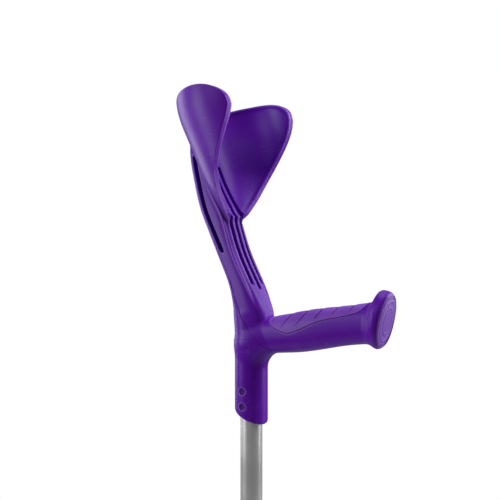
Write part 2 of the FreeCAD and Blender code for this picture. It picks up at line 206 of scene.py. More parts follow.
# The soft inlay's edge, seen from the side: x, level. The root's edge runs down to the point, then the
# lower edge runs up.
PAD_ROOT = [(36.0, -61.5), (31.7, -64.8), (29.6, -68.8), (32.2, -72.3), (40.0, -75.8), (50.9, -79.0)]
PAD_EDGE = [
    (50.9, -79.0),
    (66.2, -73.6),
    (81.0, -66.6),
    (99.0, -61.6),
    (119.0, -56.9),
    (127.0, -53.2),
    (132.0, -47.0),
]
PAD_OUTLINE_TOP = -20.0
PAD_THICK = 1.8
PAD_PROUD = 0.4
PAD_GAP = 0.35
PAD_EDGE_R = 0.5
PAD_SEAT_LIP_R = 0.35
SEAT_FLOOR_R = 0.3
# The inlay's steps slant up the grip and sweep back over its top. Their pitch is along x, and a distance
# along x is the stretch times the one across a step.
PAD_STEP_PITCH = 16.5
PAD_STEP_SLANT = 0.95
PAD_STEP_SWEEP = 0.35
PAD_STEP_STRETCH = 1.4
PAD_STEP_DEPTH = 0.45
PAD_LINE_DEPTH = 0.6
PAD_LINE_HALF = 0.5
PAD_RIB_PITCH = 3.3
PAD_RIB_DEPTH = 0.12
# The relief fades out towards the inlay's border and down the grip's sides.
PAD_BORDER = 1.2
PAD_BORDER_FADE = 3.0
PAD_RELIEF_GAIN = 1.5
PAD_RELIEF_START = 0.2
PAD_RELIEF_LEAST = 0.1

# The fine step in the surface where the side panel ends, seen from the side: x, level.
STYLE_LINE = [
    (-14.0, -30.0),
    (-8.7, -48.2),
    (-3.4, -59.2),
    (5.2, -73.3),
    (16.0, -84.9),
    (24.6, -92.9),
    (36.0, -98.4),
]
STYLE_HALF = 0.42
STYLE_DEPTH = 0.55
STYLE_FROM_MIDDLE = 2.0
STYLE_FADE = 4.0

PIN_LEVELS = {"fixing_pin_upper": -139.0, "fixing_pin_lower": -154.0}
PIN_HEAD_R = 3.1
PIN_GAP = 0.4
PIN_RECESS = 2.1
PIN_SEAT_LIP_R = 0.4
PIN_EDGE_R = 0.4
PIN_SUNK = 0.5
PIN_RING_R = 1.9
PIN_RING_HALF = 0.35
PIN_RING_DEPTH = 0.6
PIN_DIMPLE_HALF = 0.8
PIN_DIMPLE_DEPTH = 0.7
PIN_SHANK_R = 2.5
PIN_SHANK_SUNK = 1.0
PIN_TIP_Y = -7.0


# ---------------------------------------------------------------- lines and distances


ELLIPSE = 2.0
CURVE_SAMPLES = 1500
TINY = 1e-6


def through(stations, column=1):
    """A smooth function of the stations' first value, through one of their others, level past the ends."""
    at = np.array([s[0] for s in stations], float)
    value = np.array([s[column] for s in stations], float)
    gap = np.diff(at)
    last = len(at) - 1
    system = np.eye(last + 1)
    right = np.zeros(last + 1)
    for i in range(1, last):
        system[i, i - 1 : i + 2] = gap[i - 1], 2 * (gap[i - 1] + gap[i]), gap[i]
        right[i] = 6 * ((value[i + 1] - value[i]) / gap[i] - (value[i] - value[i - 1]) / gap[i - 1])
    bend = np.linalg.solve(system, right)
    fine = np.linspace(at[0], at[-1], CURVE_SAMPLES)
    i = np.clip(np.searchsorted(at, fine, side="right") - 1, 0, last - 1)
    a = (at[i + 1] - fine) / gap[i]
    b = 1 - a
    curve = a * value[i] + b * value[i + 1]
    curve = curve + ((a**3 - a) * bend[i] + (b**3 - b) * bend[i + 1]) * gap[i] ** 2 / 6
    return lambda t: np.interp(t, fine, curve)


def smooth_path(points, count):
    """Points along a smooth curve through the given points."""
    points = np.array(points, float)
    along = np.concatenate([[0], np.cumsum(np.linalg.norm(np.diff(points, axis=0), axis=1))])
    t = np.linspace(0, along[-1], count)
    columns = [through(list(zip(along, points[:, c])))(t) for c in range(2)]
    return np.stack(columns, axis=1)


class Outline:
    """The distance to a line in a plane, kept as a table. Inside a closed line it is below zero."""

    STEP = 0.5
    MARGIN = 12.0
    LAST_CELL = 1.001

    def __init__(self, points, closed):
        points = np.array(points, float)
        self.low = points.min(0) - self.MARGIN
        size = np.ceil((points.max(0) + self.MARGIN - self.low) / self.STEP).astype(int) + 1
        steps = np.meshgrid(*[np.arange(n) for n in size], indexing="ij")
        grid = np.stack(steps, axis=-1) * self.STEP + self.low
        u, v = grid[..., 0], grid[..., 1]
        best = np.full(u.shape, np.inf)
        within = np.zeros(u.shape, bool)
        ends = np.roll(points, -1, axis=0) if closed else points[1:]
        for (ax, ay), (bx, by) in zip(points, ends):
            dx, dy = bx - ax, by - ay
            share = np.clip(((u - ax) * dx + (v - ay) * dy) / max(dx * dx + dy * dy, TINY), 0, 1)
            best = np.minimum(best, (u - ax - share * dx) ** 2 + (v - ay - share * dy) ** 2)
            if ay != by:
                within ^= ((ay > v) != (by > v)) & (u < dx * (v - ay) / dy + ax)
        best = np.sqrt(best)
        self.table = np.where(within, -best, best) if closed else best

    def distance(self, u, v):
        top = np.array(self.table.shape) - self.LAST_CELL
        i = np.clip((u - self.low[0]) / self.STEP, 0, top[0])
        j = np.clip((v - self.low[1]) / self.STEP, 0, top[1])
        i0, j0 = i.astype(int), j.astype(int)
        i, j = i - i0, j - j0
        t = self.table
        near = t[i0, j0] * (1 - j) + t[i0, j0 + 1] * j
        far = t[i0 + 1, j0] * (1 - j) + t[i0 + 1, j0 + 1] * j
        return near * (1 - i) + far * i


def ease(share):
    """A share from 0 to 1, made to start and end gently."""
    return share * share * (3 - 2 * share)


def smooth_min(a, b, k):
    """Either shape, run together softly over about k."""
    h = np.clip(0.5 + 0.5 * (b - a) / k, 0, 1)
    return b + (a - b) * h - k * h * (1 - h)


def round_max(a, b, r):
    """What both shapes hold, with the corner between them rounded to radius r."""
    return np.minimum(np.maximum(a, b), -r) + np.hypot(np.maximum(a + r, 0), np.maximum(b + r, 0))


def round_min(a, b, r):
    """Either shape, with a fillet of radius r between them."""
    return -round_max(-a, -b, r)


def oval_distance(u, v, half_u, half_v, power, lean=0.0):
    """Distance to a superellipse. lean is how far its middle moves along u for each unit along the sweep."""
    p = np.abs(u) / half_u + TINY
    q = np.abs(v) / half_v + TINY
    pn, qn = p ** (power - 1), q ** (power - 1)
    total = p * pn + q * qn
    r = total ** (1 / power)
    scale = r / total
    grad_u, grad_v = scale * pn / half_u, scale * qn / half_v
    return (r - 1) / np.sqrt(grad_u**2 * (1 + lean**2) + grad_v**2)


def stadium(across, along, low, high, half):
    """Distance to a slot with round ends, in its own plane."""
    over = np.maximum(np.maximum(low + half - along, along - high + half), 0)
    return np.hypot(across, over) - half


# ---------------------------------------------------------------- the handle moulding as a field


spine_front, spine_back, spine_half, spine_power = [through(SPINE, column) for column in (1, 2, 3, 4)]
cuff_back, cuff_outer = [through(CUFF, column) for column in (1, 2)]
grip_level, grip_half_height, grip_half_width = [through(GRIP, column) for column in (1, 2, 3)]


def cuff_middle(z):
    """The wall's middle radius and its centre's x at a level."""
    outer = cuff_outer(z)
    return outer - CUFF_WALL / 2, cuff_back(z) + outer


def wing_outline():
    """The wings' free edge as a closed outline, seen from the side."""
    front = smooth_path(WING_FRONT_EDGE, count=50)
    top = smooth_path(WING_TOP_EDGE, count=40)
    behind = CUFF[-1][1] - WING_OUTLINE_BEHIND
    corners = [(behind, WING_TOP_EDGE[-1][1]), (behind, WING_FRONT_EDGE[0][1])]
    return np.concatenate([front, top[1:], corners])


wing_shape = Outline(wing_outline(), closed=True)
pad_path = np.concatenate([smooth_path(PAD_ROOT, count=30), smooth_path(PAD_EDGE, count=50)[1:]])
pad_corners = [(PAD_EDGE[-1][0], PAD_OUTLINE_TOP), (PAD_ROOT[0][0], PAD_OUTLINE_TOP)]
pad_shape = Outline(np.concatenate([pad_path, pad_corners]), closed=True)
style_shape = Outline(smooth_path(STYLE_LINE, count=50), closed=False)


def sleeve(x, y, z):
    end = -(z - SLEEVE_BOTTOM) * math.cos(SLEEVE_END_SLOPE) - x * math.sin(SLEEVE_END_SLOPE)
    side = round_max(np.hypot(x, y) - SLEEVE_R, end, SLEEVE_EDGE_R)
    return round_max(side, z - SLEEVE_TOP, SLEEVE_TOP_R)


def spine(x, y, z):
    front, back = spine_front(z), spine_back(z)
    lean = (spine_front(z + 1) + spine_back(z + 1) - front - back) / 2
    side = oval_distance(x - (front + back) / 2, y, (front - back) / 2, spine_half(z), spine_power(z), lean)
    from_bead = (front - x - BEAD_FROM_FRONT) ** 2 + (np.abs(y) - spine_half(z) + BEAD_IN) ** 2
    side = side - BEAD_HEIGHT * np.exp(-from_bead / BEAD_HALF**2) * np.clip((z - BEAD_FOOT) / BEAD_FADE, 0, 1)
    side = round_max(side, z - SPINE[-1][0], SPINE_END_R)
    return round_max(side, SPINE[0][0] - z, SPINE_FOOT_R)


def cuff(x, y, z):
    radius, centre = cuff_middle(z)
    radius_up, centre_up = cuff_middle(z + 1)
    rho = np.hypot(x - centre, y) + TINY
    slope = (centre_up - centre) * (x - centre) / rho + radius_up - radius
    from_rim = wing_shape.distance(x, z)
    roll = CUFF_RIM_ROLL * np.exp(-((from_rim / CUFF_ROLL_WIDTH) ** 2))
    wall = np.maximum(rho - radius, radius - rho - roll) - CUFF_WALL / 2
    wings = round_max(wall / np.sqrt(1 + slope**2), from_rim, CUFF_RIM_R)
    notch = oval_distance(z - NOTCH_LEVEL, y, NOTCH_HALF_HEIGHT, NOTCH_HALF_WIDTH, NOTCH_POWER)
    return round_max(wings, -notch, CUFF_RIM_R)


def grip_skin(x, y, z):
    """Distance to the grip's oval surface."""
    level = grip_level(x)
    lean = grip_level(x + 1) - level
    return oval_distance(z - level, y, grip_half_height(x), grip_half_width(x), GRIP_POWER, lean)


def grip(x, y, z):
    side = round_max(grip_skin(x, y, z), GRIP[0][0] - x, GRIP_ROOT_R)
    return round_max(side, x - GRIP[-1][0], GRIP_END_R)


def in_flange(x, z):
    """Coordinates in the leaning flange: up it and out of it."""
    dx, dz = x - FLANGE_X, z - FLANGE_LEVEL
    tall = dx * math.sin(FLANGE_LEAN) + dz * math.cos(FLANGE_LEAN)
    out = dx * math.cos(FLANGE_LEAN) - dz * math.sin(FLANGE_LEAN)
    return tall, out


def flange(x, y, z):
    """The oval stop, a little thicker at its top than at its foot."""
    tall, out = in_flange(x, z)
    rim = oval_distance(tall, y, FLANGE_HALF_HEIGHT, FLANGE_HALF_WIDTH, ELLIPSE)
    dx, dz = x - FLANGE_X, z - FLANGE_LEVEL
    back = dz * math.sin(FLANGE_BACK_LEAN) - dx * math.cos(FLANGE_BACK_LEAN)
    return round_max(rim, round_max(out - FLANGE_THICK, back, FLANGE_FACE_R), FLANGE_EDGE_R)


def cap_seat_rim(tall, y):
    return oval_distance(tall, y, CAP_HALF_HEIGHT + CAP_GAP, CAP_HALF_WIDTH + CAP_GAP, ELLIPSE)


def cap_seat(x, y, z):
    tall, out = in_flange(x, z)
    return round_max(cap_seat_rim(tall, y), FLANGE_THICK - CAP_SEAT_DEPTH - out, SEAT_FLOOR_R)


def front_grooves(x, y, z):
    front = spine_front(z)
    depth = np.maximum(front - FRONT_GROOVE_DEPTH - x, x - front - FRONT_GROOVE_REACH)
    best = np.full(x.shape, np.inf)
    for offset, low, high in FRONT_GROOVES:
        slot = stadium(y - offset, z, low, high, FRONT_GROOVE_HALF)
        best = np.minimum(best, round_max(slot, depth, FRONT_GROOVE_FLOOR_R))
    return best


def side_slots(x, y, z):
    low, high = SIDE_SLOT_ENDS
    middle = spine_back(z) + np.interp(z, SIDE_SLOT_ENDS, SIDE_SLOT_FROM_BACK)
    slot = stadium(x - middle, z, low, high, SIDE_SLOT_HALF) * SIDE_SLOT_SLANT
    return round_max(slot, SIDE_SLOT_WEB - np.abs(y), SIDE_SLOT_FLOOR_R)


def pad_seat(x, y, z):
    floor = PAD_PROUD - PAD_THICK - grip_skin(x, y, z)
    return round_max(floor, pad_shape.distance(x, z) - PAD_GAP, SEAT_FLOOR_R)


def tube_seat(x, y, z):
    return np.maximum(np.hypot(x, y) - TUBE_R - TUBE_SEAT_GAP, z - TUBE_SEAT_TOP)


def pin_seats(x, y, z):
    holes = [np.hypot(x, z - level) for level in PIN_LEVELS.values()]
    return np.maximum(np.minimum(*holes) - PIN_HEAD_R - PIN_GAP, y + SLEEVE_R - PIN_RECESS)


def moulding(x, y, z):
    """The whole handle moulding: its shapes run together, then its grooves and seats cut out."""
    column = smooth_min(sleeve(x, y, z), spine(x, y, z), COLUMN_BLEND)
    share = ease(np.clip((z - FILLET_BELOW[1]) / (FILLET_ABOVE[1] - FILLET_BELOW[1]), 0, 1))
    body = round_min(column, grip(x, y, z), FILLET_BELOW[0] + (FILLET_ABOVE[0] - FILLET_BELOW[0]) * share)
    body = smooth_min(body, flange(x, y, z), FLANGE_BLEND)
    body = smooth_min(body, cuff(x, y, z), CUFF_BLEND)
    body = round_max(body, -front_grooves(x, y, z), GROOVE_LIP_R)
    body = round_max(body, -side_slots(x, y, z), GROOVE_LIP_R)
    body = round_max(body, -pad_seat(x, y, z), PAD_SEAT_LIP_R)
    body = round_max(body, -cap_seat(x, y, z), CAP_SEAT_LIP_R)
    body = round_max(body, -pin_seats(x, y, z), PIN_SEAT_LIP_R)
    body = round_max(body, -tube_seat(x, y, z), BORE_EDGE_R)
    line = style_shape.distance(x, z) / STYLE_HALF
    on_side = np.clip((np.abs(y) - STYLE_FROM_MIDDLE) / STYLE_FADE, 0, 1)
    return body + STYLE_DEPTH * on_side * np.exp(-(line**2))


# How far past the skin, the seats' floors and the moulding's middle its finest features are looked for.
DETAIL_AT_SKIN = 1.5
DETAIL_AT_SEAT = 1.0
DETAIL_FROM_MIDDLE = 3.0


def moulding_detail(x, y, z):
    """How far a point is from the moulding's finest features."""
    tall, out = in_flange(x, z)
    at_skin = np.abs(grip_skin(x, y, z)) - DETAIL_AT_SKIN
    near_seat = np.maximum(np.abs(pad_shape.distance(x, z) - PAD_GAP), at_skin)
    near_cap = np.maximum(np.abs(cap_seat_rim(tall, y)), FLANGE_THICK - CAP_SEAT_DEPTH - DETAIL_AT_SEAT - out)
    line = np.maximum(style_shape.distance(x, z), DETAIL_FROM_MIDDLE - np.abs(y))
    holes = [np.abs(np.hypot(x, z - level) - PIN_HEAD_R) for level in PIN_LEVELS.values()]
    near_pin = np.maximum(np.minimum(*holes), y + SLEEVE_R - PIN_RECESS - DETAIL_AT_SEAT)
    return np.minimum(np.minimum(near_seat, near_cap), np.minimum(line, near_pin))


def pad_phase(x, y, z):
    """How many steps along the inlay a point is; the steps run up it at a slant."""
    return (x - PAD_STEP_SLANT * (z - grip_level(x)) - PAD_STEP_SWEEP * np.abs(y)) / PAD_STEP_PITCH


def pad(x, y, z):
    """The soft inlay: a thin shell on the grip's top, pressed into diagonal steps with fine ribs."""
    skin = grip_skin(x, y, z)
    edge = pad_shape.distance(x, z)
    phase = pad_phase(x, y, z)
    ramp = (phase - np.floor(phase)) ** 3
    from_step = (phase - np.round(phase)) * PAD_STEP_PITCH / PAD_STEP_STRETCH
    line = np.exp(-((from_step / PAD_LINE_HALF) ** 2))
    rib = 0.5 + 0.5 * np.cos(2 * math.pi * phase * PAD_STEP_PITCH / PAD_RIB_PITCH)
    height = (z - grip_level(x)) / grip_half_height(x)
    high_up = np.clip(height * PAD_RELIEF_GAIN - PAD_RELIEF_START, PAD_RELIEF_LEAST, 1)
    inner = np.clip((-edge - PAD_BORDER) / PAD_BORDER_FADE, 0, 1) * high_up
    pressed = inner * (PAD_STEP_DEPTH * ramp + PAD_RIB_DEPTH * rib * ramp + PAD_LINE_DEPTH * line)
    floor = PAD_PROUD - PAD_THICK - skin
    top = skin - PAD_PROUD + pressed
    return round_max(np.maximum(floor, top), edge, PAD_EDGE_R)


def pad_detail(x, y, z):
    """How far a point is from the inlay's edge or the nearest step."""
    phase = pad_phase(x, y, z)
    return np.minimum(np.abs(pad_shape.distance(x, z)), np.abs(phase - np.round(phase)) * PAD_STEP_PITCH / 2)


def end_cap(x, y, z):
    """The cap in the flange: slightly domed, with plain raised oval rings."""
    tall, out = in_flange(x, z)
    share = np.hypot(tall / CAP_HALF_HEIGHT, y / CAP_HALF_WIDTH)
    rim = oval_distance(tall, y, CAP_HALF_HEIGHT, CAP_HALF_WIDTH, ELLIPSE)
    face = out - (FLANGE_THICK - CAP_SUNK + CAP_DOME * (1 - share**2))
    for ring in CAP_RINGS:
        off = oval_distance(tall, y, CAP_HALF_HEIGHT * ring, CAP_HALF_WIDTH * ring, ELLIPSE)
        face = face - CAP_RING_HEIGHT * np.exp(-((off / CAP_RING_HALF) ** 2))
    back = FLANGE_THICK - CAP_SEAT_DEPTH + CAP_LIFT - out
    return round_max(rim, np.maximum(face, back), CAP_EDGE_R)


def no_detail(x, y, z):
    """For a piece that is refined only where it bends: every point is far from any fine feature."""
    return np.full(x.shape, np.inf)


def pin(level):
    """A pin's field: a flat round head with a ring groove and a dimple, on a plain shank."""

    def field(x, y, z):
        r = np.hypot(x, z - level)
        face = -SLEEVE_R + PIN_SUNK - y
        ring = PIN_RING_DEPTH * np.exp(-(((r - PIN_RING_R) / PIN_RING_HALF) ** 2))
        dimple = PIN_DIMPLE_DEPTH * np.exp(-((r / PIN_DIMPLE_HALF) ** 2))
        ends = np.maximum(face + ring + dimple, y + SLEEVE_R - PIN_RECESS)
        head = round_max(r - PIN_HEAD_R, ends, PIN_EDGE_R)
        shank_ends = np.maximum(-SLEEVE_R + PIN_SHANK_SUNK - y, y - PIN_TIP_Y)
        shank = np.maximum(r - PIN_SHANK_R, shank_ends)
        return np.minimum(head, shank)

    return field


# ---------------------------------------------------------------- from a field to a mesh


# How far off the surface the field is read for the crevice and edge marks, which become painted shade and
# painted highlight, in millimetres.
MARK_REACH = 1.5
# The field is worked out first on blocks of so many steps a side, and finely only in blocks near the surface.
BLOCK = 4
BLOCK_REACH = 1.4
# What stands for the field where only its sign is known.
FAR_VALUE = 1e3
LEAST_SLOPE_SQUARED = 0.05
RELAX_SHARE = 0.5


def slope_of(field, points, reach=0.12):
    """The field's gradient and value at the points, from the four corners of a small tetrahedron."""
    corners = np.array([(1, -1, -1), (-1, -1, 1), (-1, 1, -1), (1, 1, 1)], float)
    values = [field(*(points + corner * reach).T) for corner in corners]
    grad = sum(value[:, None] * corner for value, corner in zip(values, corners)) / (4 * reach)
    return grad, sum(values) / 4


def normals_of(grad):
    return grad / np.maximum(np.linalg.norm(grad, axis=1), TINY)[:, None]


def onto(field, points, rounds=3, limit=0.6):
    """The points moved onto the field's surface."""
    for _ in range(rounds):
        grad, value = slope_of(field, points)
        move = value[:, None] * grad / np.maximum((grad**2).sum(1), LEAST_SLOPE_SQUARED)[:, None]
        length = np.maximum(np.linalg.norm(move, axis=1), TINY)
        points = points - move * np.minimum(1, limit / length)[:, None]
    return points


def near_values(field, low, count, step):
    """The field on a fine grid, worked out only near its surface and elsewhere just its sign."""
    coarse = [low[a] + step * BLOCK * np.arange(count[a] + 1) for a in range(3)]
    rough = field(*[g.ravel() for g in np.meshgrid(*coarse, indexing="ij")]).reshape(count + 1)
    near = np.abs(rough) < BLOCK_REACH * step * BLOCK
    shifts = [(i, j, k) for i in (0, 1) for j in (0, 1) for k in (0, 1)]
    cells = np.zeros(count, bool)
    for i, j, k in shifts:
        cells |= near[i : count[0] + i, j : count[1] + j, k : count[2] + k]
    fine = count * BLOCK
    cells = cells.repeat(BLOCK, 0).repeat(BLOCK, 1).repeat(BLOCK, 2)
    wanted = np.zeros(fine + 1, bool)
    for i, j, k in shifts:
        wanted[i : fine[0] + i, j : fine[1] + j, k : fine[2] + k] |= cells
    values = np.where(rough < 0, -FAR_VALUE, FAR_VALUE)
    values = values.repeat(BLOCK, 0).repeat(BLOCK, 1).repeat(BLOCK, 2)
    values = values[: fine[0] + 1, : fine[1] + 1, : fine[2] + 1].copy()
    where = np.argwhere(wanted)
    values[wanted] = field(*(low + where * step).T)
    return values


def nets(field, low, high, step):
    """Points and quads of the field's surface, one point in each grid cell that it passes through."""
    low = np.array(low, float)
    count = np.ceil((np.array(high) - low) / (step * BLOCK)).astype(int)
    values = near_values(field, low, count, step)
    inside = values < 0
    corners = [(i, j, k) for i in (0, 1) for j in (0, 1) for k in (0, 1)]
    size = np.array(inside.shape) - 1
    total = np.zeros(size, np.uint8)
    for i, j, k in corners:
        total += inside[i : size[0] + i, j : size[1] + j, k : size[2] + k]
    crossed = (total > 0) & (total < 8)
    cell = np.argwhere(crossed)
    number = np.full(size, -1, np.int64)
    number[crossed] = np.arange(len(cell))
    corner_value = {c: values[tuple((cell + c).T)] for c in corners}
    place_sum = np.zeros((len(cell), 3))
    hits = np.zeros(len(cell))
    for c in corners:
        for axis in range(3):
            if c[axis]:
                continue
            d = tuple(1 if a == axis else c[a] for a in range(3))
            first, second = corner_value[c], corner_value[d]
            hit = (first < 0) != (second < 0)
            share = np.where(hit, first / np.where(hit, first - second, 1), 0)
            place_sum += (np.array(c) + share[:, None] * (np.array(d) - c)) * hit[:, None]
            hits += hit
    points = low + (cell + place_sum / hits[:, None]) * step
    quads = []
    for a in range(3):
        b, c = (a + 1) % 3, (a + 2) % 3
        front = np.take(inside, range(1, inside.shape[a]), axis=a)
        back = np.take(inside, range(0, inside.shape[a] - 1), axis=a)
        edge = np.argwhere(front != back)
        edge = edge[(edge[:, b] > 0) & (edge[:, c] > 0) & (edge[:, b] < size[b]) & (edge[:, c] < size[c])]
        ring = []
        for step_b, step_c in ((1, 1), (0, 1), (0, 0), (1, 0)):
            at = edge.copy()
            at[:, b] -= step_b
            at[:, c] -= step_c
            ring.append(number[tuple(at.T)])
        ring = np.stack(ring, axis=1)
        flip = ~inside[tuple(edge.T)]
        ring[flip] = ring[flip][:, ::-1]
        quads.append(ring)
    return points, np.concatenate(quads)


def relaxed(field, points, quads, rounds):
    """The points evened out over the surface."""
    first = quads.ravel()
    second = np.roll(quads, -1, axis=1).ravel()
    ends = np.concatenate([first, second])
    others = np.concatenate([second, first])
    count = np.maximum(np.bincount(ends, minlength=len(points)), 1)
    for _ in range(rounds):
        middle = [np.bincount(ends, points[others, a], minlength=len(points)) / count for a in range(3)]
        points = onto(field, points + RELAX_SHARE * (np.stack(middle, axis=1) - points), rounds=1)
    return points


def split(points, faces, chosen):
    """Each chosen quad cut in four; its neighbours take in the new edge points."""
    points = list(map(tuple, points))
    halves = {}

    def half(a, b):
        key = (a, b) if a < b else (b, a)
        if key not in halves:
            halves[key] = len(points)
            points.append(tuple((points[a][i] + points[b][i]) / 2 for i in range(3)))
        return halves[key]

    made = []
    for f in np.flatnonzero(chosen):
        ring = faces[f]
        mids = [half(ring[i], ring[(i + 1) % 4]) for i in range(4)]
        centre = len(points)
        points.append(tuple(sum(points[v][i] for v in ring) / 4 for i in range(3)))
        made += [[ring[i], mids[i], centre, mids[i - 1]] for i in range(4)]
    kept = []
    for f in np.flatnonzero(~chosen):
        ring = faces[f]
        full = []
        for a, b in zip(ring, ring[1:] + ring[:1]):
            full.append(a)
            key = (a, b) if a < b else (b, a)
            if key in halves:
                full.append(halves[key])
        kept.append(full)
    return np.array(points), kept + made


def refined(field, points, faces, detail, bands):
    """The mesh with finer faces near the detail and on bends, one round for each band.

    A band is how near the detail a face counts as close, and the cosine between its opposite corners' normals
    under which it counts as bent.
    """
    for band, bend in bands:
        quad = np.array([len(f) == 4 for f in faces])
        ring = np.array([f[:4] for f in faces])
        close = detail(*points[ring].mean(1).T) < band
        corner = normals_of(slope_of(field, points)[0])[ring]
        turn = (corner[:, :2] * corner[:, 2:]).sum(2).min(1)
        chosen = quad & (close | (turn < bend))
        points, faces = split(points, faces, chosen)
        points = onto(field, points, rounds=2, limit=0.3)
    return points, faces


def mesh_of(name, points, faces, field):
    """A smooth-shaded mesh object in the row frame, with the field's own normals.

    Its crevices and edges are marked, for the material's painted shade in crevices and painted highlight on
    edges.
    """
    normal = normals_of(slope_of(field, points)[0])
    crevice = 1 - field(*(points + MARK_REACH * normal).T) / MARK_REACH
    edge = 1 + field(*(points - MARK_REACH * normal).T) / MARK_REACH
    mesh = bpy.data.meshes.new(name)
    mesh.from_pydata((points + (0, 0, HANDLE_Z)) * MM, [], faces)
    mesh.polygons.foreach_set("use_smooth", np.ones(len(mesh.polygons), bool))
    mesh.normals_split_custom_set_from_vertices(normal)
    marks = np.stack([crevice, edge, np.zeros_like(edge), np.ones_like(edge)], axis=1)
    layer = mesh.color_attributes.new("marks", "FLOAT_COLOR", "POINT")
    layer.data.foreach_set("color", np.clip(marks, 0, 1).ravel())
    mesh.update()
    obj = bpy.data.objects.new(name, mesh)
    bpy.context.scene.collection.objects.link(obj)
    return obj


def sculpt(name, field, low, high, step, detail, bands):
    """A mesh object of the field's surface between two corners."""
    points, quads = nets(field, low, high, step)
    points = relaxed(field, onto(field, points), quads, rounds=3)
    points = onto(field, points)
    points, faces = refined(field, points, quads.tolist(), detail, bands)
    return mesh_of(name, points, faces, field)


# ---------------------------------------------------------------- materials


def new_material(name):
    material = bpy.data.materials.new(name)
    material.use_nodes = True
    return material, material.node_tree.nodes, material.node_tree.links


class Surface:
    """A material's node tree, with the few kinds of node that all the surfaces here are made of."""

    def __init__(self, name):
        self.material, self.nodes, self.links = new_material(name)
        self.shader = self.nodes["Principled BSDF"]
        self.place = self.nodes.new("ShaderNodeTexCoord").outputs["Object"]

    def put(self, socket, value):
        if isinstance(value, (int, float)):
            socket.default_value = value
        elif isinstance(value, tuple):
            socket.default_value = value + (1,)
        else:
            self.links.new(value, socket)

    def noise(self, scale, detail=2.0, turn=(0, 0, 0), stretch=(1, 1, 1)):
        """Noise with scale cells to a metre, turned and then stretched."""
        mapping = self.nodes.new("ShaderNodeMapping")
        mapping.inputs["Rotation"].default_value = turn
        mapping.inputs["Scale"].default_value = stretch
        self.links.new(self.place, mapping.inputs["Vector"])
        noise = self.nodes.new("ShaderNodeTexNoise")
        noise.inputs["Scale"].default_value = scale
        noise.inputs["Detail"].default_value = detail
        self.links.new(mapping.outputs["Vector"], noise.inputs["Vector"])
        return noise.outputs["Fac"]

    def between(self, value, low, high, to_low=0.0, to_high=1.0):
        node = self.nodes.new("ShaderNodeMapRange")
        for socket, number in zip(node.inputs[1:5], (low, high, to_low, to_high)):
            socket.default_value = number
        self.links.new(value, node.inputs["Value"])
        return node.outputs["Result"]

    def maths(self, kind, first, second):
        node = self.nodes.new("ShaderNodeMath")
        node.operation = kind
        self.put(node.inputs[0], first)
        self.put(node.inputs[1], second)
        return node.outputs["Value"]

    def mixed(self, share, first, second):
        node = self.nodes.new("ShaderNodeMixRGB")
        self.put(node.inputs["Fac"], share)
        self.put(node.inputs["Color1"], first)
        self.put(node.inputs["Color2"], second)
        return node.outputs["Color"]

    def marks(self):
        """The mesh's crevices and edges, each from 0 to 1, for painted shade and painted highlight. A mesh
        without marks has none.
        """
        marks = self.nodes.new("ShaderNodeAttribute")
        marks.attribute_name = "marks"
        parts = self.nodes.new("ShaderNodeSeparateColor")
        self.links.new(marks.outputs["Color"], parts.inputs["Color"])
        return parts.outputs["Red"], parts.outputs["Green"]

    def finish(self, colour, roughness, height):
        """height is in millimetres."""
        self.put(self.shader.inputs["Base Color"], colour)
        self.put(self.shader.inputs["Roughness"], roughness)
        bump = self.nodes.new("ShaderNodeBump")
        bump.inputs["Distance"].default_value = MM
        self.links.new(height, bump.inputs["Height"])
        self.links.new(bump.outputs["Normal"], self.shader.inputs["Normal"])
        return self.material


SCRATCH_TURNS = ((0.3, 0.9, 0.5), (1.1, -0.6, 0.2))
SCRATCH_STRETCH = (1.0, 26.0, 26.0)
SCRATCH_DEPTH = 0.06
SCRATCH_ROUGHNESS = 0.12
MARK_RANGE = (0.12, 0.6)
MARK_STRENGTH = 0.85
CLOUD_RANGE = (0.3, 0.7)


